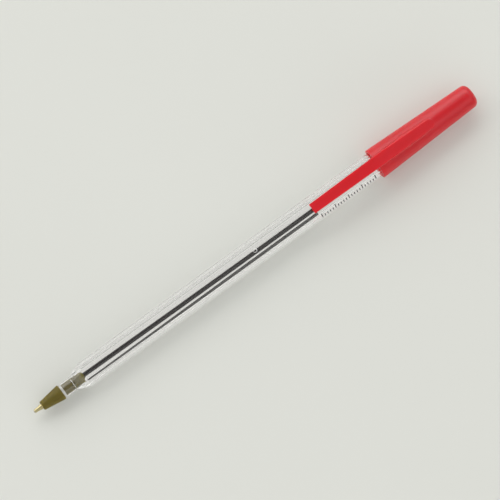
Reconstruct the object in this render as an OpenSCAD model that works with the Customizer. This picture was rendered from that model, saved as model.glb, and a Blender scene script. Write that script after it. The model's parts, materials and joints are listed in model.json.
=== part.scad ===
/* [Barrel] */
// Width of the six-sided barrel across its flats
barrel_flats = 7.1; // [6.4:0.1:8]
// How far the corners between the flats are rounded in from sharp
corner_round = 0.05; // [0.05:0.05:0.2]
// Wall between the bore and the middle of a flat
barrel_wall = 1.25; // [1.1:0.05:1.4]
// Length of the barrel from its nose to its rear end
barrel_len = 126; // [110:1:140]
// Length of the round nose in front of the shoulder
nose_len = 4.6; // [3.5:0.1:5.5]
// Wall of the round nose
nose_wall = 0.4; // [0.3:0.05:0.5]
// Length of the shoulder between the nose and the full section
shoulder_len = 3.9; // [3:0.1:6]
// Diameter of the vent hole in the top flat
vent_d = 1.1; // [0.8:0.1:1.4]
// Distance of the vent hole from the barrel's nose
vent_from_nose = 72.2; // [50:0.1:90]
// How far the vent hole lies to the side of the flat's middle
vent_side = 0.3; // [0:0.1:1]

/* [Nose cone] */
// Length of the cone in front of the barrel
cone_len = 7.2; // [6:0.1:9]
// How far the cone's base stands out past the barrel's nose, on each side
cone_lip = 0.25; // [0.1:0.05:0.4]
// Width of the ring round the point on the cone's front face
cone_ledge = 0.64; // [0.3:0.02:0.8]
// Length of the shank in the barrel
shank_len = 8.2; // [6.5:0.1:9]
// Gap between the shank and the barrel's main bore
shank_gap = 0.49; // [0.4:0.01:0.6]
// Wall of the shank around the end of the ink tube
shank_wall = 0.27; // [0.2:0.01:0.35]
// Depth of the ink tube's socket in the shank
socket_depth = 4.5; // [3.5:0.1:5.5]
// Diameter of the ink passage between the point and the ink tube
passage_d = 1.1; // [0.9:0.1:1.3]

/* [Writing point] */
// Diameter of the ball
ball_d = 1; // [0.7:0.1:1.2]
// How far the ball stands out of the rim
ball_proud = 0.3; // [0.2:0.05:0.35]
// Brass around the ball at the rim
rim_wall = 0.08; // [0.06:0.01:0.12]
// Length of the tapered front from the rim to the collar
taper_len = 2; // [1.4:0.1:2.4]
// How far the collar stands out past the tapered front
collar_step = 0.12; // [0.05:0.01:0.2]
// Length of the collar
collar_len = 0.8; // [0.4:0.1:1]
// How far the collar stands out past the stem
collar_lip = 0.08; // [0.05:0.01:0.15]
// Diameter of the stem in the cone
stem_d = 1.5; // [1.3:0.05:1.7]
// Length of the stem in the cone
stem_len = 5.5; // [4:0.1:6.5]
// Diameter of the ink channel in the point
channel_d = 0.6; // [0.4:0.05:0.7]

/* [Ink] */
// Wall of the ink tube
tube_wall = 0.8; // [0.65:0.01:0.9]
// Space between the ink tube and the end plug
tube_end_gap = 4.5; // [2:0.5:10]
// Length of the tube that the ink has left empty
ink_used = 21; // [5:1:60]
// Gap between the bore and the free end of the tube, which leans towards it
tube_rest_gap = 0.1; // [0.1:0.01:0.3]

/* [End plug] */
// Length of the plug in the bore
plug_len = 6; // [4:0.5:8]
// How far the plug's head stands out past the bore
head_lip = 0.9; // [0.5:0.1:1.2]
// Thickness of the plug's head
head_len = 1; // [0.8:0.1:1.5]

/* [Cap] */
// Length of the cap without its clip
cap_len = 36.7; // [30:0.1:42]
// Wall of the cap
cap_wall = 0.85; // [0.75:0.05:1.05]
// Diameter that the cap's side tapers to at its closed end
cap_end_d = 7.5; // [6.4:0.1:8]
// Radius of the rounded edge at the closed end
cap_end_round = 2; // [0.8:0.1:2.5]
// Thickness of the closed end
cap_end_wall = 1.2; // [1:0.1:2]
// How far the barrel goes into the cap
posting_depth = 8.5; // [6:0.5:10]
// Turn of the clip about the barrel, from the top flat towards the side
cap_roll = 7; // [-25:1:25]

/* [Clip] */
// Length of the clip past the cap's mouth
clip_len = 24.1; // [18:0.1:30]
// Length of the clip's rib along the cap
rib_len = 22; // [15:0.5:26]
// Width of the clip at the end of its rib
clip_root_w = 3.75; // [3:0.05:4.5]
// Width of the clip at its free end
clip_tip_w = 3.3; // [2.5:0.05:3.5]
// Thickness of the clip
clip_thick = 1; // [0.8:0.1:1.3]
// How far the clip's top stands above the cap at its mouth
clip_rise = 1.2; // [1:0.1:1.5]
// Space between the clip's free end and the barrel's corners
clip_gap = 0.35; // [0.3:0.05:0.8]

/* [Fits] */
// Radial gap of the ball in its seat
ball_clear = 0.015; // [0.01:0.005:0.03]
// Radial gap of pieces that are pushed together
push_clear = 0.03; // [0.02:0.005:0.04]
// Radial gap of the cap on the barrel's corners
post_clear = 0.05; // [0.03:0.01:0.08]
// Gap at the end of a piece that stops against another
seat_gap = 0.1; // [0.05:0.05:0.2]

/* [Hidden] */

round_fn = 128;
arc_steps = 8;
// Six flats, and the angle from the middle of a flat to its corner
flat_count = 6;
corner_angle = 180 / flat_count;
// How far a body runs past a face that it cuts or joins
over = 1;

// Radii, worked out from the width across the flats
sharp_corner_r = barrel_flats / 2 / cos(corner_angle);
corner_r = sharp_corner_r - corner_round;
bore_r = barrel_flats / 2 - barrel_wall;
shank_r = bore_r - shank_gap;
nose_bore_r = shank_r + push_clear;
nose_r = nose_bore_r + nose_wall;
cone_base_r = nose_r + cone_lip;
socket_r = shank_r - shank_wall;
tube_r = socket_r - push_clear;
tube_bore_r = tube_r - tube_wall;
ink_r = tube_bore_r - push_clear;
stem_r = stem_d / 2;
stem_bore_r = stem_r + push_clear;
collar_r = stem_r + collar_lip;
cone_front_r = collar_r + cone_ledge;
taper_r = collar_r - collar_step;
ball_r = ball_d / 2;
seat_r = ball_r + ball_clear;
rim_bore_r = sqrt(pow(seat_r, 2) - pow(ball_r - ball_proud, 2));
rim_r = rim_bore_r + rim_wall;
channel_r = channel_d / 2;
passage_r = passage_d / 2;
plug_r = bore_r - push_clear;
head_r = bore_r + head_lip;
cap_bore_r = corner_r + post_clear;
mouth_r = cap_bore_r + cap_wall;
cap_end_r = cap_end_d / 2;

// Stations along the axis, counted from the front of the ball
rim_x = ball_proud;
collar_x = rim_x + taper_len;
cone_x = collar_x + collar_len;
stem_end_x = cone_x + stem_len;
nose_x = cone_x + cone_len;
step_x = nose_x + nose_len;
full_x = step_x + shoulder_len;
shank_end_x = nose_x + shank_len;
socket_x = shank_end_x - socket_depth;
tube_x = socket_x + seat_gap;
vent_x = nose_x + vent_from_nose;
rear_x = nose_x + barrel_len;
plug_x = rear_x - plug_len;
tube_end_x = plug_x - tube_end_gap;
ink_end_x = tube_end_x - ink_used;
mouth_x = rear_x - posting_depth;
stop_x = rear_x + seat_gap;
cap_end_x = mouth_x + cap_len;
cap_floor_x = cap_end_x - cap_end_wall;
rib_x = mouth_x + rib_len;
clip_tip_x = mouth_x - clip_len;

// The ink tube leans in the barrel until its free end almost touches the bore
tube_lean = asin((bore_r - tube_r - tube_rest_gap) / (tube_end_x - shank_end_x));

// Radius of the cap's side at a station
function cap_side_r(x) = mouth_r + (cap_end_r - mouth_r) * (x - mouth_x) / cap_len;

// Heights of the clip above the axis
clip_top = mouth_r + clip_rise;
clip_under = clip_top - clip_thick;
clip_tip_under = corner_r + clip_gap;
clip_tip_top = clip_tip_under + clip_thick;
rib_top = cap_side_r(rib_x);

// Puts a piece that is drawn along the axis into the part's frame, lying on the cap's mouth
module placed() {
    translate([-cap_end_x / 2, 0, mouth_r])
        children();
}

// Solid turned about the axis from points of station and radius
module turned(points) {
    rotate([0, 90, 0])
        rotate_extrude($fn = round_fn)
            polygon([for (p = points) [p[1], p[0]]]);
}

// Cylinder along the axis between two stations
module rod(from_x, to_x, r) {
    turned([[from_x, 0], [to_x, 0], [to_x, r], [from_x, r]]);
}

// Leans what it holds about the shank's end, towards the side that the vent hole lies on
module leaned() {
    translate([shank_end_x, 0, 0])
        rotate([0, 0, -tube_lean])
            translate([-shank_end_x, 0, 0])
                children();
}

// Six-sided bar along the axis with a flat on top
module six_sided_bar() {
    rotate([corner_angle, 0, 0])
        rotate([0, 90, 0])
            linear_extrude(rear_x)
                circle(r = sharp_corner_r, $fn = flat_count);
}

module barrel() {
    color([0.86, 0.88, 0.87, 0.4])
        placed()
            difference() {
                intersection() {
                    six_sided_bar();
                    turned([
                        [nose_x, 0],
                        [nose_x, nose_r],
                        [step_x, nose_r],
                        [full_x, corner_r],
                        [rear_x, corner_r],
                        [rear_x, 0]
                    ]);
                }
                turned([
                    [nose_x - over, 0],
                    [nose_x - over, nose_bore_r],
                    [step_x, nose_bore_r],
                    [full_x, bore_r],
                    [rear_x + over, bore_r],
                    [rear_x + over, 0]
                ]);
                translate([vent_x, -vent_side, 0])
                    cylinder(r = vent_d / 2, h = barrel_flats, $fn = round_fn);
            }
}

module end_plug() {
    color([0.78, 0.13, 0.15])
        placed()
            turned([
                [plug_x, 0],
                [plug_x, plug_r],
                [rear_x, plug_r],
                [rear_x, head_r],
                [rear_x + head_len, head_r],
                [rear_x + head_len, 0]
            ]);
}

module cap_body() {
    end_slope_r = cap_side_r(cap_end_x - cap_end_round);
    turned(concat(
        [[cap_end_x, 0], [mouth_x, 0], [mouth_x, mouth_r]],
        [for (i = [0 : arc_steps])
            let (a = 90 * i / arc_steps)
                [
                    cap_end_x - cap_end_round * (1 - sin(a)),
                    end_slope_r - cap_end_round * (1 - cos(a))
                ]
        ]
    ));
}

module cap_bore() {
    turned([
        [mouth_x - over, 0],
        [mouth_x - over, cap_bore_r],
        [stop_x, cap_bore_r],
        [stop_x, cap_side_r(stop_x) - cap_wall],
        [cap_floor_x, cap_side_r(cap_floor_x) - cap_wall],
        [cap_floor_x, 0]
    ]);
}

// Side of the clip and its rib, with the free tongue past the mouth
module clip_side() {
    rotate([90, 0, 0])
        linear_extrude(2 * clip_root_w, center = true)
            polygon([
                [clip_tip_x, clip_tip_under],
                [clip_tip_x, clip_tip_top],
                [mouth_x, clip_top],
                [rib_x, rib_top],
                [rib_x, 0],
                [mouth_x, 0],
                [mouth_x, clip_under]
            ]);
}

// Plan of the clip and its rib, with a round end on the rib
module clip_plan() {
    end_r = clip_root_w / 2;
    linear_extrude(clip_top + over)
        union() {
            polygon([
                [clip_tip_x, -clip_tip_w / 2],
                [clip_tip_x, clip_tip_w / 2],
                [mouth_x, end_r],
                [rib_x - end_r, end_r],
                [rib_x - end_r, -end_r],
                [mouth_x, -end_r]
            ]);
            translate([rib_x - end_r, 0])
                circle(r = end_r, $fn = round_fn);
        }
}

module cap() {
    color([0.82, 0.15, 0.17])
        placed()
            rotate([cap_roll, 0, 0])
                difference() {
                    union() {
                        cap_body();
                        intersection() {
                            clip_side();
                            clip_plan();
                        }
                    }
                    cap_bore();
                }
}

module nose_cone() {
    color([0.42, 0.37, 0.18])
        placed()
            difference() {
                turned([
                    [cone_x, 0],
                    [cone_x, cone_front_r],
                    [nose_x, cone_base_r],
                    [nose_x, shank_r],
                    [shank_end_x, shank_r],
                    [shank_end_x, 0]
                ]);
                turned([
                    [cone_x - over, 0],
                    [cone_x - over, stem_bore_r],
                    [stem_end_x + seat_gap, stem_bore_r],
                    [stem_end_x + seat_gap, passage_r],
                    [socket_x, passage_r],
                    [socket_x, socket_r],
                    [shank_end_x + over, socket_r],
                    [shank_end_x + over, 0]
                ]);
            }
}

module writing_point() {
    color([0.78, 0.69, 0.43])
        placed()
            difference() {
                turned([
                    [rim_x, 0],
                    [rim_x, rim_r],
                    [collar_x, taper_r],
                    [collar_x, collar_r],
                    [cone_x, collar_r],
                    [cone_x, stem_r],
                    [stem_end_x, stem_r],
                    [stem_end_x, 0]
                ]);
                translate([ball_r, 0, 0])
                    sphere(r = seat_r, $fn = round_fn);
                rod(ball_r, stem_end_x + over, channel_r);
            }
}

module ball() {
    color([0.72, 0.73, 0.75])
        placed()
            translate([ball_r, 0, 0])
                sphere(r = ball_r, $fn = round_fn);
}

module ink_tube() {
    color([0.9, 0.91, 0.89, 0.5])
        placed()
            leaned()
                difference() {
                    rod(tube_x, tube_end_x, tube_r);
                    rod(tube_x - over, tube_end_x + over, tube_bore_r);
                }
}

// Ink in the tube, in the cone's passage and in the point's channel up to the ball
module ink_column() {
    color([0.12, 0.11, 0.12])
        placed()
            union() {
                leaned()
                    rod(tube_x, ink_end_x, ink_r);
                rod(stem_end_x, tube_x + over, passage_r - push_clear);
                rod(ball_r + seat_r, stem_end_x + seat_gap, channel_r - push_clear);
            }
}

barrel();
end_plug();
cap();
nose_cone();
writing_point();
ball();
ink_tube();
ink_column();
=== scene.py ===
import json
import math

import bpy
import bmesh
import numpy as np
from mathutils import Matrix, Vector


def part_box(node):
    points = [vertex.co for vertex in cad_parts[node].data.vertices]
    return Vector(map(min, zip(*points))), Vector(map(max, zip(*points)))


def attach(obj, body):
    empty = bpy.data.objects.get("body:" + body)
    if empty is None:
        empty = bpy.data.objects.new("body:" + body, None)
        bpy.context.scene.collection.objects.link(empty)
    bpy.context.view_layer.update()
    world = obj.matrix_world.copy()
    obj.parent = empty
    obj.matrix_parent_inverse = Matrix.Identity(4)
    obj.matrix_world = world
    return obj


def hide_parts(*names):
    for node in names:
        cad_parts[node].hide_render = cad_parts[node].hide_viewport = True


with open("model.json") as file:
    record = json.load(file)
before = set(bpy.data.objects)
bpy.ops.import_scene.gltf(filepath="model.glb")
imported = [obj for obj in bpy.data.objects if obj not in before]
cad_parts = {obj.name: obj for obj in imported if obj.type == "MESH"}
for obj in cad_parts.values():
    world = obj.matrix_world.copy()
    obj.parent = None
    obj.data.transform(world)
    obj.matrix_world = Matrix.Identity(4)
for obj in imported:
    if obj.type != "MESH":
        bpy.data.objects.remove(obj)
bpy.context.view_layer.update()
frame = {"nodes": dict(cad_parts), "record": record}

MM = 0.001


def box_mm(node):
    """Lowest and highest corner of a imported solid, in millimetres."""
    return tuple(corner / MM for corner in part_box(node))


# Places along and about the axis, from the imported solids, in millimetres
barrel_low, barrel_high = box_mm("barrel")
cap_low, cap_high = box_mm("cap")
cone_low, cone_high = box_mm("nose_cone")
point_low, point_high = box_mm("writing_point")
ball_low, ball_high = box_mm("ball")
tube_low, tube_high = box_mm("ink_tube")
ink_low, ink_high = box_mm("ink_column")
plug_low, plug_high = box_mm("end_plug")
AXIS_Z = (barrel_low.z + barrel_high.z) / 2
FLAT_R = (barrel_high.z - barrel_low.z) / 2
CORNER_R = (barrel_high.y - barrel_low.y) / 2
NOSE_X = barrel_low.x
REAR_X = barrel_high.x
CAP_END_X = cap_high.x
CLIP_TIP_X = cap_low.x
MOUTH_R = AXIS_Z - cap_low.z
CONE_X = cone_low.x
SHANK_END_X = cone_high.x
CONE_BASE_R = (cone_high.z - cone_low.z) / 2
BALL_R = (ball_high.z - ball_low.z) / 2
BALL_X = ball_low.x + BALL_R
RIM_X = point_low.x
STEM_END_X = point_high.x
COLLAR_R = (point_high.z - point_low.z) / 2
TUBE_R = (tube_high.z - tube_low.z) / 2
TUBE_X = tube_low.x
TUBE_END_X = tube_high.x
INK_END_X = ink_high.x
PLUG_X = plug_low.x
PLUG_END_X = plug_high.x
HEAD_R = (plug_high.z - plug_low.z) / 2

# Barrel sizes, in millimetres
FLAT_COUNT = 6
NOSE_LEN = 4.6
SHOULDER_LEN = 3.9
NOSE_R = 2.24
NOSE_BORE_R = 1.84
BORE_R = 2.3
STEP_CHAMFER = 0.22
MOUTH_CHAMFER = 0.35
MOUTH_SATIN = 0.75
BORE_STEP_SETBACK = 0.3
SHOULDER_BLEND = 0.25
NOSE_EDGE = 0.03
BARREL_EDGE = 0.1
VENT_R = 0.55
VENT_FROM_NOSE = 72.2
VENT_SIDE = 0.3
VENT_CHAMFER = 0.12
STEP_X = NOSE_X + NOSE_LEN
FULL_X = STEP_X + SHOULDER_LEN

# Nose cone and writing point sizes, in millimetres
SHANK_R = 1.81
SHANK_EDGE = 0.1
SOCKET_R = 1.54
SOCKET_DEPTH = 4.5
SOCKET_X = SHANK_END_X - SOCKET_DEPTH
PASSAGE_R = 0.55
STEM_R = 0.75
STEM_EDGE = 0.1
STEM_BORE_R = 0.78
SEAT_GAP = 0.1
CONE_FRONT_R = 1.47
CONE_FRONT_EDGE = 0.2
CONE_BASE_EDGE = 0.12
COLLAR_LEN = 0.8
COLLAR_EDGE = 0.04
COLLAR_X = CONE_X - COLLAR_LEN
TAPER_R = 0.71
SEAT_R = 0.515
RIM_BORE_R = math.sqrt(SEAT_R ** 2 - (BALL_X - RIM_X) ** 2)
RIM_WALL = 0.08
RIM_EDGE = 0.03
RIM_R = RIM_BORE_R + RIM_WALL
CHANNEL_R = 0.3

# Ink and tube sizes, in millimetres: ink wets the tube's bore and stays clear of the channel and passage
TUBE_BORE_R = 0.71
TUBE_EDGE = 0.08
TUBE_REST_GAP = 0.1
TUBE_BOW = 0.35
TUBE_LEAN = math.asin((BORE_R - TUBE_R - TUBE_REST_GAP) / (TUBE_END_X - SHANK_END_X))
INK_WETTING = 0.01
INK_CLEARANCE = 0.03
INK_HOLLOW = 0.4

# End plug sizes, in millimetres
PLUG_R = 2.27
PLUG_EDGE = 0.3
HEAD_EDGE = 0.25
HEAD_UNDER_EDGE = 0.15
DISH_DEPTH = 0.3
DISH_RIM = 0.7
DISH_SLOPE = 0.4
DISH_EDGE = 0.1

# Cap and clip sizes, in millimetres
CAP_BORE_R = 4.099
CAP_WALL = 0.85
CAP_END_WALL = 1.2
CAP_END_R = 3.75
CAP_END_ROUND = 2.0
CAP_FLOOR_X = CAP_END_X - CAP_END_WALL
CAP_ROLL = math.radians(7)
POSTING_DEPTH = 8.5
MOUTH_X = REAR_X - POSTING_DEPTH
MOUTH_EDGE = 0.12
STOP_X = REAR_X + SEAT_GAP
RIB_LEN = 22
RIB_X = MOUTH_X + RIB_LEN
CLIP_ROOT_HALF = 3.75 / 2
CLIP_TIP_HALF = 3.3 / 2
CLIP_THICK = 1.0
CLIP_RISE = 1.2
CLIP_GAP = 0.35
CLIP_TOP = MOUTH_R + CLIP_RISE
CLIP_TIP_TOP = CORNER_R + CLIP_GAP + CLIP_THICK
CLIP_BEND = 0.25
CLIP_EDGE = 0.2
CLIP_TIP_EDGE = 0.12
RIB_ROOT_ROUND = 0.35
RIB_ROOT_GROWTH = 1.0
RIB_ROOT_SHARE = 1.5
RIB_EDGE_GROWTH = 0.55
RIB_EASE_SPREAD = math.radians(6)


class Value:
    """A socket in a node tree. Arithmetic on it adds Math nodes."""

    def __init__(self, shading, socket):
        self.shading = shading
        self.socket = socket

    def maths(self, operation, *values):
        """The result of a Math node on values or numbers."""
        return self.shading.node("ShaderNodeMath", {"operation": operation}, dict(enumerate(values)))

    def __add__(self, other):
        return self.maths("ADD", self, other)

    def __radd__(self, other):
        return self.maths("ADD", other, self)

    def __sub__(self, other):
        return self.maths("SUBTRACT", self, other)

    def __rsub__(self, other):
        return self.maths("SUBTRACT", other, self)

    def __mul__(self, other):
        return self.maths("MULTIPLY", self, other)

    def __rmul__(self, other):
        return self.maths("MULTIPLY", other, self)

    def __gt__(self, other):
        return self.maths("GREATER_THAN", self, other)


# Bounces in clear plastic after which light passes straight on
TRAPPED_AFTER = 5


class Shading:
    """Adds nodes to the tree of a material or of the world."""

    def __init__(self, owner):
        owner.use_nodes = True
        self.tree = owner.node_tree
        self.tree.nodes.clear()

    def node(self, kind, settings=None, sockets=None, out=0):
        """A new node, given its settings and then its sockets' values or links, as one output's value."""
        made = self.tree.nodes.new(kind)
        for name, setting in (settings or {}).items():
            setattr(made, name, setting)
        for key, value in (sockets or {}).items():
            if isinstance(value, Value):
                self.tree.links.new(value.socket, made.inputs[key])
            else:
                made.inputs[key].default_value = value
        return Value(self, made.outputs[out]) if made.outputs else made

    def noise(self, per_mm, detail):
        """Soft noise from 0 to 1 with the given steps per millimetre along each axis of the part."""
        place = self.node("ShaderNodeTexCoord", out="Object")
        sockets = {"Vector": place, "Scale": tuple(step / MM for step in per_mm)}
        stretched = self.node("ShaderNodeMapping", {"vector_type": "POINT"}, sockets)
        return self.node("ShaderNodeTexNoise", {}, {"Vector": stretched, "Scale": 1.0, "Detail": detail})

    def bump(self, height, depth_mm):
        """A normal bent by a height from 0 to 1 that is depth_mm deep."""
        return self.node("ShaderNodeBump", {}, {"Height": height, "Distance": depth_mm * MM})

    def blended(self, factor, first, second):
        """A colour between two colours."""
        return self.node("ShaderNodeMix", {"data_type": "RGBA"}, {0: factor, 6: first, 7: second}, out=2)

    def light_path(self, fact):
        """One of the facts about the ray that meets the surface."""
        return self.node("ShaderNodeLightPath", out=fact)

    def through_plastic(self):
        """1 for light that has come through clear plastic, and 0 for other light."""
        return self.light_path("Transmission Depth") > 0.5

    def principled(self, sockets):
        """A surface shader with the given sockets."""
        return self.node("ShaderNodeBsdfPrincipled", {}, sockets)

    def mixed(self, factor, first, second):
        """A shader between two shaders."""
        return self.node("ShaderNodeMixShader", {}, {0: factor, 1: first, 2: second})

    def surface(self, shader):
        """Makes a shader the material's surface."""
        self.node("ShaderNodeOutputMaterial", {}, {"Surface": shader})

    def lit_through(self, body, tint):
        """A clear body that lets lamp light, and light trapped in it, pass straight on with a tint."""
        lamp_ray = self.light_path("Is Shadow Ray")
        trapped = self.light_path("Ray Depth") > TRAPPED_AFTER
        see_through = self.node("ShaderNodeBsdfTransparent", {}, {"Color": tint})
        self.surface(self.mixed(lamp_ray + trapped, body, see_through))


def linear(red, green, blue):
    """A screen colour of 0 to 255 as the linear colour that shaders take."""
    def one(level):
        share = level / 255
        return share / 12.92 if share <= 0.04045 else ((share + 0.055) / 1.055) ** 2.4
    return (one(red), one(green), one(blue), 1.0)


def new_finish(name):
    """A new material and the shading that its nodes are added to."""
    material = bpy.data.materials.new(name)
    return material, Shading(material)


# How strongly the barrel's plastic bends light
CLEAR_IOR = 1.59


def clear_plastic():
    """Polished clear plastic with faint flow lines along the barrel."""
    material, shade = new_finish("clear_plastic")
    flow = shade.noise((0.02, 0.6, 0.6), detail=2)
    shade.lit_through(shade.principled({
        "Base Color": (0.985, 0.976, 0.99, 1),
        "Roughness": 0.004 + 0.008 * flow,
        "IOR": CLEAR_IOR,
        "Transmission Weight": 1.0,
        "Normal": shade.bump(flow, depth_mm=0.00006),
    }), (0.972, 0.972, 0.972, 1))
    return material


def vent_satin():
    """Clear plastic left satin in the vent hole and the barrel's mouth, where it scatters light."""
    material, shade = new_finish("vent_satin")
    grain = shade.noise((12, 12, 12), detail=3)
    shade.lit_through(shade.principled({
        "Base Color": (0.95, 0.95, 0.94, 1),
        "Roughness": 0.45 + 0.2 * grain,
        "IOR": CLEAR_IOR,
        "Transmission Weight": 0.3,
    }), (0.85, 0.85, 0.85, 1))
    return material


def red_plastic():
    """Moulded red plastic with a fine grain."""
    material, shade = new_finish("red_plastic")
    cloud = shade.noise((0.08, 0.25, 0.25), detail=2)
    grain = shade.noise((6, 6, 6), detail=4)
    shade.surface(shade.principled({
        "Base Color": shade.blended(cloud, linear(211, 19, 33), linear(202, 15, 29)),
        "Roughness": 0.3 + 0.12 * grain,
        "IOR": 1.55,
        "Subsurface Weight": 0.6,
        "Subsurface Radius": (1.0, 0.12, 0.1),
        "Subsurface Scale": 3.5 * MM,
        "Normal": shade.bump(grain, depth_mm=0.004),
    }))
    return material


def olive_plastic():
    """Olive moulded plastic that light goes some way into."""
    material, shade = new_finish("olive_plastic")
    cloud = shade.noise((0.3, 0.6, 0.6), detail=3)
    grain = shade.noise((5, 5, 5), detail=3)
    shade.surface(shade.principled({
        "Base Color": shade.blended(cloud, linear(106, 97, 32), linear(98, 83, 27)),
        "Roughness": 0.42 + 0.1 * grain,
        "IOR": 1.35,
        "Subsurface Weight": 1.0,
        "Subsurface Radius": (1.0, 0.9, 0.5),
        "Subsurface Scale": 4.0 * MM,
        "Normal": shade.bump(grain, depth_mm=0.003),
    }))
    return material


def point_brass():
    """Turned brass with fine tool rings round the axis."""
    material, shade = new_finish("point_brass")
    rings = shade.noise((40, 0.2, 0.2), detail=2)
    shade.surface(shade.principled({
        "Base Color": shade.blended(rings, linear(216, 204, 158), linear(198, 185, 136)),
        "Metallic": 1.0,
        "Roughness": 0.22 + 0.12 * rings,
        "Normal": shade.bump(rings, depth_mm=0.001),
    }))
    return material


def ball_metal():
    """Polished hard metal with a trace of ink on it."""
    material, shade = new_finish("ball_metal")
    smear = shade.noise((2, 2, 2), detail=3)
    shade.surface(shade.principled({
        "Base Color": shade.blended(smear, linear(222, 218, 206), linear(178, 172, 158)),
        "Metallic": 1.0,
        "Roughness": 0.12 + 0.15 * smear,
    }))
    return material


def natural_plastic():
    """Natural plastic of the ink tube, with a little haze along it."""
    material, shade = new_finish("natural_plastic")
    haze = shade.noise((0.05, 0.8, 0.8), detail=2)
    shade.lit_through(shade.principled({
        "Base Color": (0.985, 0.982, 0.978, 1),
        "Roughness": 0.02 + 0.03 * haze,
        "IOR": 1.49,
        "Transmission Weight": 1.0,
    }), (0.93, 0.93, 0.93, 1))
    return material


def ink_paste():
    """Dark ink paste seen through the tube."""
    material, shade = new_finish("ink")
    streak = shade.noise((0.15, 1.5, 1.5), detail=3)
    shade.surface(shade.principled({
        "Base Color": shade.blended(streak, linear(20, 12, 11), linear(32, 22, 21)),
        "Roughness": 0.25 + 0.2 * streak,
        "Specular IOR Level": 0.0,
    }))
    return material


def tick_print():
    """Thin dark print with a little wear."""
    material, shade = new_finish("tick_print")
    wear = shade.noise((3, 3, 3), detail=3)
    shade.surface(shade.principled({
        "Base Color": shade.blended(wear, linear(52, 50, 52), linear(96, 94, 96)),
        "Roughness": 0.4 + 0.2 * wear,
    }))
    return material


# How much of the table shows without shade, through clear plastic and plainly, and its pale colour
PALE_SHARE = 0.72
PLAIN_SHARE = 0.15
TABLE_PALE = linear(222, 223, 216)


def table_top():
    """Plain pale table top."""
    material, shade = new_finish("table_top")
    mottle = shade.noise((0.01, 0.01, 0.01), detail=4)
    top = shade.principled({
        "Base Color": shade.blended(mottle, TABLE_PALE, linear(218, 219, 212)),
        "Roughness": 0.7,
    })
    pale = shade.node("ShaderNodeEmission", {}, {"Color": TABLE_PALE, "Strength": 1.0})
    unshaded = PALE_SHARE * shade.through_plastic() + PLAIN_SHARE * shade.light_path("Is Camera Ray")
    shade.surface(shade.mixed(unshaded, top, pale))
    return material


# Distance in millimetres at which points become one, and angles between faces that show as edges
MERGE_MM = 1e-4
SHARP_FROM = math.radians(35)
CAP_SHARP_FROM = math.radians(50)


def placed(x, y, z):
    """A point given along and about the pen's axis in millimetres, in the part's frame in metres."""
    return Vector((x * MM, y * MM, (AXIS_Z + z) * MM))


def mesh_piece(name, points, faces, material, sharp_from=SHARP_FROM):
    """A new object from points about the axis, smooth up to an angle between its faces."""
    mesh = bpy.data.meshes.new(name)
    mesh.from_pydata([placed(*p) for p in points], [], faces)
    shape = bmesh.new()
    shape.from_mesh(mesh)
    bmesh.ops.remove_doubles(shape, verts=shape.verts, dist=MERGE_MM * MM)
    bmesh.ops.recalc_face_normals(shape, faces=shape.faces)
    shape.to_mesh(mesh)
    shape.free()
    mesh.polygons.foreach_set("use_smooth", [True] * len(mesh.polygons))
    mesh.set_sharp_from_angle(angle=sharp_from)
    mesh.materials.append(material)
    piece = bpy.data.objects.new(name, mesh)
    bpy.context.scene.collection.objects.link(piece)
    return piece


def stands_for(piece, node, body):
    """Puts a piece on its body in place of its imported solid."""
    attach(piece, body)
    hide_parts(node)


def ring_faces(ring_count, size, closed):
    """Quads between rings of points that follow each other, and from the last to the first if closed."""
    faces = []
    for i in range(ring_count if closed else ring_count - 1):
        a = i * size
        b = (i + 1) % ring_count * size
        for j in range(size):
            k = (j + 1) % size
            faces.append((a + j, a + k, b + k, b + j))
    return faces


# Steps round a turned piece, round the small ball, and round a rounding of an outline
TURN_STEPS = 96
BALL_TURN_STEPS = 64
ROUNDING_STEPS = 5


def eased(corners):
    """An outline of (station, radius, rounding) corners as points, with each rounding as an arc."""
    points = []
    count = len(corners)
    for i, (x, r, ease) in enumerate(corners):
        here = Vector((x, r))
        if not ease:
            points.append(here)
            continue
        back = (Vector(corners[i - 1][:2]) - here).normalized()
        on = (Vector(corners[(i + 1) % count][:2]) - here).normalized()
        half = back.angle(on) / 2
        centre = here + (back + on).normalized() * (ease / math.sin(half))
        start = here + back * (ease / math.tan(half)) - centre
        end = here + on * (ease / math.tan(half)) - centre
        sweep = start.angle(end)
        for k in range(ROUNDING_STEPS + 1):
            a = sweep * k / ROUNDING_STEPS
            points.append(centre + (start * math.sin(sweep - a) + end * math.sin(a)) / math.sin(sweep))
    return points


def turned(name, outline, material, count=TURN_STEPS):
    """A piece turned about the axis from an outline of points of station and radius."""
    points = []
    for x, r in outline:
        for j in range(count):
            a = math.tau * j / count
            points.append((x, r * math.cos(a), r * math.sin(a)))
    has_hole = min(r for x, r in outline) > 0
    return mesh_piece(name, points, ring_faces(len(outline), count, has_hole), material)


def soft_min(a, b, blend):
    """The smaller of two values, with a smooth change from one to the other."""
    near = np.maximum(blend - np.abs(a - b), 0) / blend
    return np.minimum(a, b) - near * near * blend / 4


def cut_by(piece, cutter):
    """Cuts one piece out of another and removes the cutter."""
    cut = piece.modifiers.new("cut", "BOOLEAN")
    cut.operation = "DIFFERENCE"
    cut.solver = "EXACT"
    cut.material_mode = "TRANSFER"
    cut.object = cutter
    seen = piece.evaluated_get(bpy.context.evaluated_depsgraph_get())
    old = piece.data
    piece.data = bpy.data.meshes.new_from_object(seen)
    piece.modifiers.clear()
    piece.data.name = old.name
    bpy.data.meshes.remove(old)
    bpy.data.objects.remove(cutter)


# Steps across a flat between its borders and round a corner of the barrel, and the width of a border
FLAT_STEPS = 12
CORNER_STEPS = 11
FLAT_BORDER = 0.03


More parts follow.
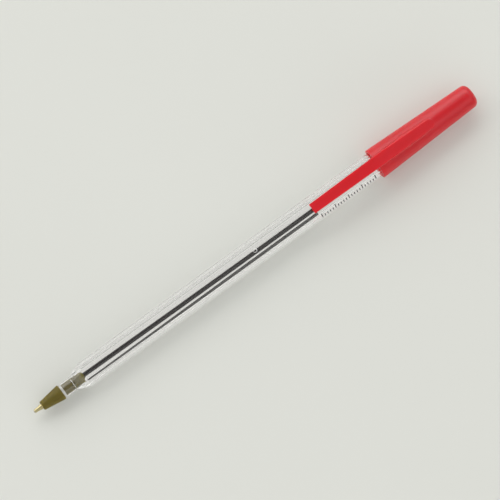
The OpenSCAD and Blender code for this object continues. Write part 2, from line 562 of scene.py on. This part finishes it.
def six_sided_ring():
    """Angles from the top and radii of the barrel's full section: flats joined by round corners."""
    sector = math.pi / FLAT_COUNT
    sharp_r = FLAT_R / math.cos(sector)
    corner_round = (sharp_r - CORNER_R) / (1 / math.cos(sector) - 1)
    half_flat = (FLAT_R - corner_round) * math.tan(sector)
    inner = half_flat - FLAT_BORDER
    across = [-half_flat, *np.linspace(-inner, inner, FLAT_STEPS), half_flat]
    section = [(math.atan2(u, FLAT_R), math.hypot(u, FLAT_R)) for u in across]
    centre_r = (FLAT_R - corner_round) / math.cos(sector)
    for turn in np.linspace(-sector, sector, CORNER_STEPS)[1:-1]:
        u = centre_r * math.sin(sector) + corner_round * math.sin(sector + turn)
        v = centre_r * math.cos(sector) + corner_round * math.cos(sector + turn)
        section.append((math.atan2(u, v), math.hypot(u, v)))
    angles = []
    radii = []
    for flat in range(FLAT_COUNT):
        angles += [a + 2 * sector * flat for a, r in section]
        radii += [r for a, r in section]
    return np.array(angles), np.array(radii)


# Rings along the shoulder, and how far before and after it they lie, in millimetres
SHOULDER_RINGS = 40
SHOULDER_BEFORE = 0.3
SHOULDER_AFTER = 0.6


def barrel():
    """Clear barrel: a round nose that swells into six flats, a stepped bore and a vent in the top flat."""
    angles, full = six_sided_ring()
    outside = [
        (NOSE_X, np.full_like(full, NOSE_R - NOSE_EDGE)),
        (NOSE_X + NOSE_EDGE, np.full_like(full, NOSE_R)),
    ]
    for x in np.linspace(STEP_X - SHOULDER_BEFORE, FULL_X + SHOULDER_AFTER, SHOULDER_RINGS):
        swell = NOSE_R + max(0, x - STEP_X) * (CORNER_R - NOSE_R) / SHOULDER_LEN
        outside.append((x, soft_min(swell, full, SHOULDER_BLEND)))
    outside += [(REAR_X - BARREL_EDGE, full), (REAR_X, full - BARREL_EDGE)]
    bore = [
        (REAR_X, BORE_R + BARREL_EDGE),
        (REAR_X - BARREL_EDGE, BORE_R),
        (FULL_X, BORE_R),
        (STEP_X - BORE_STEP_SETBACK, NOSE_BORE_R + STEP_CHAMFER),
        (STEP_X - BORE_STEP_SETBACK - STEP_CHAMFER, NOSE_BORE_R),
        (NOSE_X + MOUTH_SATIN, NOSE_BORE_R),
        (NOSE_X + MOUTH_CHAMFER, NOSE_BORE_R),
        (NOSE_X, NOSE_BORE_R + MOUTH_CHAMFER),
    ]
    rings = outside + [(x, np.full_like(full, r)) for x, r in bore]
    points = []
    for x, radii in rings:
        points += [(x, -r * math.sin(a), r * math.cos(a)) for a, r in zip(angles, radii)]
    faces = ring_faces(len(rings), len(angles), True)
    piece = mesh_piece("clear_barrel", points, faces, materials["clear_plastic"])
    satin = vent_satin()
    piece.data.materials.append(satin)
    for face in piece.data.polygons:
        in_mouth = face.center.x < (NOSE_X + MOUTH_SATIN) * MM
        radius = math.hypot(face.center.y, face.center.z - AXIS_Z * MM)
        if in_mouth and radius < (NOSE_BORE_R + MOUTH_CHAMFER) * MM:
            face.material_index = 1
    cut_by(piece, vent_cutter(satin))
    piece.data.set_sharp_from_angle(angle=SHARP_FROM)
    return piece


# Steps round the vent hole, and how far its cutter stands above the flat, in millimetres
VENT_STEPS = 48
VENT_CUT_ABOVE = 0.2


def vent_cutter(satin):
    """Rod with a wider head that cuts the vent hole and its chamfer through the top flat."""
    x = NOSE_X + VENT_FROM_NOSE
    outline = (
        (BORE_R / 2, VENT_R),
        (FLAT_R - VENT_CHAMFER, VENT_R),
        (FLAT_R + VENT_CUT_ABOVE, VENT_R + VENT_CHAMFER + VENT_CUT_ABOVE),
    )
    points = []
    for height, r in outline:
        for j in range(VENT_STEPS):
            a = math.tau * j / VENT_STEPS
            points.append((x + r * math.cos(a), -VENT_SIDE + r * math.sin(a), height))
    faces = ring_faces(len(outline), VENT_STEPS, False)
    faces.append(tuple(range(VENT_STEPS)))
    faces.append(tuple(range(len(points) - VENT_STEPS, len(points))))
    return mesh_piece("vent_cutter", points, faces, satin)


def cap_side_r(x):
    """Radius of the cap's side at a station, without its rounded end."""
    return MOUTH_R + (CAP_END_R - MOUTH_R) * (x - MOUTH_X) / (CAP_END_X - MOUTH_X)


def clip_top(x):
    """Height of the clip and its rib above the axis, eased where the two slopes meet at the mouth."""
    along_clip = CLIP_TOP + (x - MOUTH_X) * (CLIP_TOP - CLIP_TIP_TOP) / (MOUTH_X - CLIP_TIP_X)
    along_rib = CLIP_TOP + (x - MOUTH_X) * (cap_side_r(RIB_X) - CLIP_TOP) / (RIB_X - MOUTH_X)
    return float(soft_min(along_clip, along_rib, CLIP_BEND))


def clip_half_width(x):
    """Half the width of the clip, or of its rib with its round end, at a station."""
    if x < MOUTH_X:
        return CLIP_ROOT_HALF + (x - MOUTH_X) * (CLIP_ROOT_HALF - CLIP_TIP_HALF) / (MOUTH_X - CLIP_TIP_X)
    past = max(0, x - (RIB_X - CLIP_ROOT_HALF))
    return math.sqrt(max(0, CLIP_ROOT_HALF ** 2 - past ** 2))


# Search for the cap's outside in each direction, between two shares of the side's radius
SEARCH_FROM = 0.5
SEARCH_TO = 2
SEARCH_HALVINGS = 40


def cap_section(x, angles):
    """Radii of the cap's outside at angles from the clip's middle: a round side joined to the rib."""
    side_r = cap_side_r(x)
    top = clip_top(x)
    half = clip_half_width(x)
    along = (x - MOUTH_X) / (RIB_X - MOUTH_X)
    edge = CLIP_EDGE + RIB_EDGE_GROWTH * along
    if half <= edge:
        return np.full_like(angles, side_r)
    root_round = min(RIB_ROOT_ROUND + RIB_ROOT_GROWTH * along, RIB_ROOT_SHARE * (top - side_r))
    low = np.full_like(angles, SEARCH_FROM * side_r)
    high = np.full_like(angles, SEARCH_TO * side_r)
    for _ in range(SEARCH_HALVINGS):
        r = (low + high) / 2
        over_half = np.abs(r * np.sin(angles)) - (half - edge)
        over_top = r * np.cos(angles) - (top - edge)
        corner = np.hypot(np.maximum(over_half, 0), np.maximum(over_top, 0))
        to_rib = corner + np.minimum(np.maximum(over_half, over_top), 0) - edge
        to_rib = np.where(np.cos(angles) > 0, to_rib, side_r)
        inside = soft_min(to_rib, r - side_r, root_round) < 0
        low = np.where(inside, r, low)
        high = np.where(inside, high, r)
    return low


# Steps round a half of the clip's or the cap's section, of which the top, edge and wall are shared by both
TOP_STEPS = 6
EDGE_STEPS = 8
WALL_STEPS = 4
UNDER_STEPS = 6
ROUND_STEPS = 44
SHARED = TOP_STEPS + EDGE_STEPS + WALL_STEPS

# Reach of the close steps at the rib's edge, which is limited to a share of its wall, and at its root in
# shares of that reach, and where on the wall the cap's steps part from the clip's
CLOSE_REACH = math.radians(1.4)
CLOSE_SHARE = 0.3
BEFORE_ROOT = 0.8
AFTER_ROOT = 2.5
PARTING_SHARE = 0.44


def cap_angles(x):
    """Angles from the clip's middle round to the far side, close together at the rib's edge and root."""
    # From the rib's round end on, the angles stay as they are where it starts
    at = min(x, RIB_X - CLIP_ROOT_HALF)
    edge = math.atan2(CLIP_ROOT_HALF, clip_top(at))
    root = math.asin(CLIP_ROOT_HALF / cap_side_r(at))
    close = min(CLOSE_REACH, CLOSE_SHARE * (root - edge))
    parting = edge + PARTING_SHARE * (root - edge)
    spread = RIB_EASE_SPREAD * (at - MOUTH_X) / (RIB_X - MOUTH_X)
    stops = (
        (edge - close - spread, TOP_STEPS),
        (edge + close, EDGE_STEPS),
        (parting, WALL_STEPS),
        (root - BEFORE_ROOT * close, WALL_STEPS),
        (root + AFTER_ROOT * close + 2 * spread, EDGE_STEPS),
        (math.pi, ROUND_STEPS),
    )
    angles = [0.0]
    for stop, steps in stops:
        angles += list(np.linspace(angles[-1], stop, steps + 1)[1:])
    return np.array(angles)


def clip_half_section(x, inset):
    """Half of the clip's section from its middle on top, round its edges, to its middle underneath."""
    half = clip_half_width(x) - inset
    top = clip_top(x) - inset
    under = clip_top(x) - CLIP_THICK + inset
    in_half = half - CLIP_EDGE
    quarter = np.linspace(0, math.pi / 2, EDGE_STEPS + 1)[1:]
    section = [(u, top) for u in np.linspace(0, in_half, TOP_STEPS + 1)]
    section += [(in_half + CLIP_EDGE * math.sin(a), top - CLIP_EDGE * (1 - math.cos(a))) for a in quarter]
    section += [(half, v) for v in np.linspace(top - CLIP_EDGE, under + CLIP_EDGE, WALL_STEPS + 1)[1:]]
    section += [(in_half + CLIP_EDGE * math.cos(a), under + CLIP_EDGE * (1 - math.sin(a))) for a in quarter]
    section += [(u, under) for u in np.linspace(in_half, 0, UNDER_STEPS + 1)[1:]]
    return section


def rolled(x, u, v):
    """A point of the cap, across and up from the axis, turned with the clip about the barrel."""
    y = u * math.cos(CAP_ROLL) - v * math.sin(CAP_ROLL)
    z = u * math.sin(CAP_ROLL) + v * math.cos(CAP_ROLL)
    return (x, y, z)


def mirrored(half):
    """A whole ring from its half, which starts and ends in the middle."""
    return list(half) + [(-u, v) for u, v in half[-2:0:-1]]


def round_half(radii, angles):
    """Half of a section given by radii at angles."""
    return [(r * math.sin(a), r * math.cos(a)) for r, a in zip(radii, angles)]


class Skin:
    """Points and faces of a piece that is built from rings."""

    def __init__(self):
        self.points = []
        self.faces = []

    def ring(self, x, section):
        """Adds a ring of points at a station and returns their numbers."""
        start = len(self.points)
        self.points += [rolled(x, u, v) for u, v in section]
        return list(range(start, len(self.points)))

    def join(self, rings):
        """Adds quads between rings that follow each other."""
        for a, b in zip(rings, rings[1:]):
            for j in range(len(a)):
                k = (j + 1) % len(a)
                self.faces.append((a[j], a[k], b[k], b[j]))


# Rings of the cap: round a small edge, along its side, close together at the rib's end, from there on, and
# round its closed end, and then the rings along the clip
QUARTER_RINGS = 5
SIDE_RINGS = 28
RIB_END_RINGS = 33
FAR_RINGS = 12
END_RINGS = 11
CLIP_RINGS = 24

# Where those runs of rings start or stop, in millimetres from the mouth, the rib's end or the clip's tip
SIDE_FROM_MOUTH = 0.5
SIDE_TO_RIB_END = 3
CLOSE_BEFORE_RIB_END = 2.8
CLOSE_AFTER_RIB_END = 0.4
FAR_FROM_RIB_END = 1
CLIP_FROM_TIP = 0.5
CLIP_TO_MOUTH = 0.3

# Rings on the cap's flat end, in shares of its radius
END_FLAT_SHARES = (0.6, 0.3, 0)


def cap_outside(skin):
    """Rings of the cap's outside from its mouth, rounded but for where the clip is, to its closed end."""
    round_x = CAP_END_X - CAP_END_ROUND
    quarter = np.linspace(0, math.pi / 2, QUARTER_RINGS)
    stations = [MOUTH_X + MOUTH_EDGE * (1 - math.cos(a)) for a in quarter]
    stations += list(np.linspace(MOUTH_X + SIDE_FROM_MOUTH, RIB_X - SIDE_TO_RIB_END, SIDE_RINGS))
    stations += list(np.linspace(RIB_X - CLOSE_BEFORE_RIB_END, RIB_X + CLOSE_AFTER_RIB_END, RIB_END_RINGS))
    stations += list(np.linspace(RIB_X + FAR_FROM_RIB_END, round_x, FAR_RINGS))
    rings = []
    for x in stations:
        angles = cap_angles(x)
        to_edge = max(0, MOUTH_EDGE - (x - MOUTH_X))
        pull = MOUTH_EDGE - math.sqrt(MOUTH_EDGE ** 2 - to_edge ** 2)
        share = np.clip((np.arange(len(angles)) - SHARED) / (2 * EDGE_STEPS), 0, 1)
        rings.append(skin.ring(x, mirrored(round_half(cap_section(x, angles) - pull * share, angles))))
    angles = cap_angles(CAP_END_X)
    end_flat_r = cap_side_r(round_x) - CAP_END_ROUND
    closing = []
    for a in np.linspace(0, math.pi / 2, END_RINGS)[1:]:
        closing.append((round_x + CAP_END_ROUND * math.sin(a), end_flat_r + CAP_END_ROUND * math.cos(a)))
    closing += [(CAP_END_X, share * end_flat_r) for share in END_FLAT_SHARES]
    for x, r in closing:
        rings.append(skin.ring(x, mirrored(round_half(np.full_like(angles, r), angles))))
    return rings


def clip_outside(skin, mouth):
    """Rings of the clip from its tip to the mouth, where its top and sides run on into the rib."""
    rings = []
    for a in np.linspace(0, math.pi / 2, QUARTER_RINGS):
        x = CLIP_TIP_X + CLIP_TIP_EDGE * (1 - math.cos(a))
        rings.append(skin.ring(x, mirrored(clip_half_section(x, CLIP_TIP_EDGE * (1 - math.sin(a))))))
    for x in np.linspace(CLIP_TIP_X + CLIP_FROM_TIP, MOUTH_X - CLIP_TO_MOUTH, CLIP_RINGS):
        rings.append(skin.ring(x, mirrored(clip_half_section(x, 0))))
    root = mirrored(clip_half_section(MOUTH_X, 0))
    under = skin.ring(MOUTH_X, root[SHARED + 1:-SHARED])
    rings.append(mouth[:SHARED + 1] + under + mouth[-SHARED:])
    return rings, under


def cap():
    """Cap with its clip as one skin: outside, mouth, bore and inner hollow."""
    skin = Skin()
    outside = cap_outside(skin)
    mouth = outside[0]
    clip, under = clip_outside(skin, mouth)
    mouth_outline = mouth[SHARED:len(mouth) - SHARED + 1] + under[::-1]
    inside = [mouth_outline]
    directions = [math.atan2(*skin.points[i][1:]) - CAP_ROLL for i in mouth_outline]
    floor_r = cap_side_r(CAP_FLOOR_X) - CAP_WALL
    hollow = (
        (MOUTH_X, CAP_BORE_R + MOUTH_EDGE),
        (MOUTH_X + MOUTH_EDGE, CAP_BORE_R),
        (STOP_X, CAP_BORE_R),
        (STOP_X, cap_side_r(STOP_X) - CAP_WALL),
        (CAP_FLOOR_X, floor_r),
        (CAP_FLOOR_X, floor_r / 2),
        (CAP_FLOOR_X, 0),
    )
    for x, r in hollow:
        inside.append(skin.ring(x, [(r * math.sin(a), r * math.cos(a)) for a in directions]))
    for rings in (outside, clip, inside):
        skin.join(rings)
    skin.faces.append(tuple(clip[0]))
    return mesh_piece("clip_cap", skin.points, skin.faces, materials["red_plastic"], CAP_SHARP_FROM)


def nose_cone():
    """Cone in front of the barrel with its shank, its socket for the tube and its bore for the point."""
    return turned("nose_cone_skin", eased([
        (CONE_X, STEM_BORE_R, 0),
        (CONE_X, CONE_FRONT_R, CONE_FRONT_EDGE),
        (NOSE_X, CONE_BASE_R, CONE_BASE_EDGE),
        (NOSE_X, SHANK_R, 0),
        (SHANK_END_X, SHANK_R, SHANK_EDGE),
        (SHANK_END_X, SOCKET_R, 0),
        (SOCKET_X, SOCKET_R, 0),
        (SOCKET_X, PASSAGE_R, 0),
        (STEM_END_X + SEAT_GAP, PASSAGE_R, 0),
        (STEM_END_X + SEAT_GAP, STEM_BORE_R, 0),
    ]), materials["olive_plastic"])


# Rings along the ball's seat and along the ball
SEAT_RINGS = 14
BALL_RINGS = 33


def writing_point():
    """Turned point with its collar, its stem in the cone, its ink channel and the ball's seat."""
    outside = eased([
        (RIM_X, RIM_BORE_R, 0),
        (RIM_X, RIM_R, RIM_EDGE),
        (COLLAR_X, TAPER_R, 0),
        (COLLAR_X, COLLAR_R, COLLAR_EDGE),
        (CONE_X, COLLAR_R, COLLAR_EDGE),
        (CONE_X, STEM_R, 0),
        (STEM_END_X, STEM_R, STEM_EDGE),
        (STEM_END_X, CHANNEL_R, 0),
    ])
    back = math.asin(CHANNEL_R / SEAT_R)
    front = math.pi - math.asin(RIM_BORE_R / SEAT_R)
    seat = [
        Vector((BALL_X + SEAT_R * math.cos(a), SEAT_R * math.sin(a)))
        for a in np.linspace(back, front, SEAT_RINGS)[:-1]
    ]
    return turned("brass_point", outside + seat, materials["point_brass"])


def writing_ball():
    """Ball that runs in the point's seat."""
    outline = [
        Vector((BALL_X - BALL_R * math.cos(a), BALL_R * math.sin(a)))
        for a in np.linspace(0, math.pi, BALL_RINGS)
    ]
    return turned("writing_ball", outline, materials["ball_metal"], BALL_TURN_STEPS)


# Rings along the free length of the tube and the ink, how far before their ends these stop, in millimetres,
# and rings on the ink's hollow end
FREE_RINGS = 40
FREE_STOP = 1
HOLLOW_RINGS = 9


def lean(piece):
    """Leans and bows what lies in the tube towards the side that the vent hole lies on."""
    for vertex in piece.data.vertices:
        x = vertex.co.x / MM
        if x >= TUBE_X:
            free = max(0, x - SHANK_END_X) / (TUBE_END_X - SHANK_END_X)
            side = (x - SHANK_END_X) * math.tan(TUBE_LEAN) + TUBE_BOW * math.sin(math.pi * free)
            vertex.co.y -= side * MM


def ink_tube():
    """Tube that leans and bows a little in the barrel's bore."""
    stations = np.linspace(SHANK_END_X, TUBE_END_X - FREE_STOP, FREE_RINGS)
    piece = turned("natural_tube", eased([
        (TUBE_X, TUBE_BORE_R, 0),
        (TUBE_X, TUBE_R, TUBE_EDGE),
        *((x, TUBE_R, 0) for x in stations),
        (TUBE_END_X, TUBE_R, TUBE_EDGE),
        (TUBE_END_X, TUBE_BORE_R, TUBE_EDGE),
        *((x, TUBE_BORE_R, 0) for x in stations[::-1]),
    ]), materials["natural_plastic"])
    lean(piece)
    return piece


def ink_column():
    """Ink from the ball's seat through the point and the cone, and up the tube to its hollow end."""
    wet_r = TUBE_BORE_R + INK_WETTING
    channel_r = CHANNEL_R - INK_CLEARANCE
    passage_r = PASSAGE_R - INK_CLEARANCE
    outline = [
        Vector((BALL_X + SEAT_R, 0)),
        Vector((BALL_X + SEAT_R, channel_r)),
        Vector((STEM_END_X, channel_r)),
        Vector((STEM_END_X, passage_r)),
        Vector((TUBE_X, passage_r)),
        Vector((TUBE_X, wet_r)),
    ]
    outline += [Vector((x, wet_r)) for x in np.linspace(SHANK_END_X, INK_END_X - FREE_STOP, FREE_RINGS)]
    for a in np.linspace(0, math.pi / 2, HOLLOW_RINGS):
        outline.append(Vector((INK_END_X - INK_HOLLOW * math.sin(a), wet_r * math.cos(a))))
    piece = turned("ink_paste", outline, materials["ink"])
    lean(piece)
    return piece


def end_plug():
    """Plug in the barrel's rear end with a shallow dish in its head."""
    dish_x = PLUG_END_X - DISH_DEPTH
    dish_r = HEAD_R - DISH_RIM
    return turned("rear_plug", eased([
        (PLUG_X, 0, 0),
        (PLUG_X, PLUG_R, PLUG_EDGE),
        (REAR_X, PLUG_R, 0),
        (REAR_X, HEAD_R, HEAD_UNDER_EDGE),
        (PLUG_END_X, HEAD_R, HEAD_EDGE),
        (PLUG_END_X, dish_r, DISH_EDGE),
        (dish_x, dish_r - DISH_SLOPE, DISH_EDGE),
        (dish_x, 0, 0),
    ]), materials["red_plastic"])


# Printed scale on the flat beside the clip, in millimetres past the clip's tip and below the flat's middle
TICK_HEIGHT = 0.012
TICK_WIDTH = 0.32
TICK_PITCH = 1.0
TICK_COUNT = 21
TICK_FROM = 1.6
TICK_FOOT = 1.6
TICK_LONG = 1.9
TICK_SHORT = 1.1
LONG_EVERY = 5


def printed_ticks():
    """Thin plates of print on the flat beside the clip: a plain scale with every fifth tick longer."""
    turn = 2 * math.pi / FLAT_COUNT
    out = Vector((-math.sin(turn), math.cos(turn)))
    down = Vector((-math.cos(turn), -math.sin(turn)))
    points = []
    faces = []
    for i in range(TICK_COUNT):
        start = CLIP_TIP_X + TICK_FROM + i * TICK_PITCH
        end = start + TICK_WIDTH
        high = TICK_FOOT - (TICK_SHORT if i % LONG_EVERY else TICK_LONG)
        base = len(points)
        for rise in (0, TICK_HEIGHT):
            for x, v in ((start, high), (end, high), (end, TICK_FOOT), (start, TICK_FOOT)):
                points.append((x, *(out * (FLAT_R + rise) + down * v)))
        faces += [(base, base + 1, base + 2, base + 3), (base + 4, base + 5, base + 6, base + 7)]
        faces += [(base + j, base + (j + 1) % 4, base + 4 + (j + 1) % 4, base + 4 + j) for j in range(4)]
    piece = mesh_piece("printed_ticks", points, faces, tick_print())
    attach(piece, "pen")


materials = {
    "clear_plastic": clear_plastic(),
    "red_plastic": red_plastic(),
    "olive_plastic": olive_plastic(),
    "point_brass": point_brass(),
    "ball_metal": ball_metal(),
    "natural_plastic": natural_plastic(),
    "ink": ink_paste(),
}

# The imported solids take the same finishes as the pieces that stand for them
for part in frame["record"]["subparts"]:
    mesh = frame["nodes"][part["node"]].data
    mesh.materials.clear()
    mesh.materials.append(materials[part["material_slot"]])

stands_for(barrel(), "barrel", "pen")
stands_for(cap(), "cap", "cap")
stands_for(nose_cone(), "nose_cone", "pen")
stands_for(writing_point(), "writing_point", "pen")
stands_for(writing_ball(), "ball", "ball")
stands_for(ink_tube(), "ink_tube", "pen")
stands_for(ink_column(), "ink_column", "pen")
stands_for(end_plug(), "end_plug", "pen")
printed_ticks()

# Half the side of the square table, in millimetres
TABLE_HALF = 1500


def table():
    """Table that touches the cap's mouth and the lower flat behind the barrel's shoulder."""
    slope = barrel_low.z / (FULL_X - MOUTH_X)
    corners = (
        (-TABLE_HALF, -TABLE_HALF),
        (TABLE_HALF, -TABLE_HALF),
        (TABLE_HALF, TABLE_HALF),
        (-TABLE_HALF, TABLE_HALF),
    )
    mesh = bpy.data.meshes.new("table")
    mesh.from_pydata([Vector((x, y, (x - MOUTH_X) * slope)) * MM for x, y in corners], [], [(0, 1, 2, 3)])
    mesh.materials.append(table_top())
    piece = bpy.data.objects.new("table", mesh)
    bpy.context.scene.collection.objects.link(piece)


table()

# Camera at the photo's angle, far off with a long lens. Its distances are in metres, and its sensor and its
# aim beside the pen's middle in millimetres
AZIMUTH = math.radians(-36.571)
ELEVATION = math.radians(78.5)
CAMERA_DISTANCE = 3.0
CAMERA_REACH = 20
FRAME_WIDTH = 0.15072
SENSOR = 36.0
AIM_RIGHT = -1.12
AIM_UP = 0.69


def camera():
    """The camera that the picture is taken with."""
    to_camera = Vector((
        math.sin(AZIMUTH) * math.cos(ELEVATION),
        -math.cos(AZIMUTH) * math.cos(ELEVATION),
        math.sin(ELEVATION),
    ))
    image_right = Vector((math.cos(AZIMUTH), math.sin(AZIMUTH), 0))
    image_up = to_camera.cross(image_right)
    aim = placed(0, 0, 0) + (image_right * AIM_RIGHT + image_up * AIM_UP) * MM
    data = bpy.data.cameras.new("camera")
    data.sensor_width = SENSOR
    data.lens = SENSOR * CAMERA_DISTANCE / FRAME_WIDTH
    data.clip_end = CAMERA_REACH
    piece = bpy.data.objects.new("camera", data)
    piece.location = aim + to_camera * CAMERA_DISTANCE
    piece.rotation_euler = to_camera.to_track_quat("Z", "Y").to_euler()
    bpy.context.scene.collection.objects.link(piece)
    bpy.context.scene.camera = piece


camera()


def softbox(name, place, size, level, in_gloss):
    """A long lamp panel aimed at the pen, of a plain brightness beside white, seen in gloss or not."""
    data = bpy.data.lights.new(name, "AREA")
    data.shape = "RECTANGLE"
    data.size, data.size_y = size
    data.energy = level * math.pi * data.size * data.size_y
    lamp = bpy.data.objects.new(name, data)
    lamp.location = place
    lamp.rotation_euler = Vector(place).to_track_quat("Z", "Y").to_euler()
    lamp.visible_camera = False
    lamp.visible_transmission = False
    lamp.visible_glossy = in_gloss
    bpy.context.scene.collection.objects.link(lamp)


softbox("key_panel", place=(0, 2.0, 1.3), size=(6.0, 2.3), level=1.35, in_gloss=True)
softbox("low_fill_panel", place=(0, -2.2, 0.5), size=(6.0, 0.8), level=1.6, in_gloss=False)

# Light levels of the room, the heights on its dome where they change, and its colour behind the table
WALL_LEVEL = 0.3
UPPER_LEVEL = 0.95
OVERHEAD_LEVEL = 0.2
UPPER_HEIGHTS = (0.2, 0.6)
OVERHEAD_HEIGHTS = (0.8, 0.95)
ROOM_PALE = (0.72, 0.73, 0.69, 1)


def room():
    """A dim room that shows pale behind the table and through clear plastic."""
    world = bpy.data.worlds.new("world")
    bpy.context.scene.world = world
    sky = Shading(world)
    direction = sky.node("ShaderNodeTexCoord", out="Generated")
    height = sky.node("ShaderNodeSeparateXYZ", {}, {"Vector": direction}, out="Z")

    def light(colour, level):
        """Light of one colour and level from all round."""
        return sky.node("ShaderNodeBackground", {}, {"Color": colour, "Strength": level})

    def above(low, high):
        """0 below a height on the room's dome and 1 above another, with a smooth change between them."""
        sockets = {"Value": height, "From Min": low, "From Max": high}
        return sky.node("ShaderNodeMapRange", {"interpolation_type": "SMOOTHSTEP"}, sockets)

    white = (1, 1, 1, 1)
    overhead = above(*OVERHEAD_HEIGHTS)
    sides = sky.mixed(above(*UPPER_HEIGHTS), light(white, WALL_LEVEL), light(white, UPPER_LEVEL))
    lit = sky.mixed(overhead, sides, light(white, OVERHEAD_LEVEL))
    shows_pale = sky.light_path("Is Camera Ray") + sky.through_plastic() * (1 - overhead)
    shown = sky.mixed(shows_pale, lit, light(ROOM_PALE, 1.0))
    sky.node("ShaderNodeOutputWorld", {}, {"Surface": shown})


room()

# Bounces that let light find its way through the barrel and the tube
CLEAR_BOUNCES = 32
GLOSS_BOUNCES = 24
bpy.context.scene.view_settings.view_transform = "Standard"
bpy.context.scene.cycles.max_bounces = CLEAR_BOUNCES
bpy.context.scene.cycles.glossy_bounces = GLOSS_BOUNCES
bpy.context.scene.cycles.transmission_bounces = CLEAR_BOUNCES
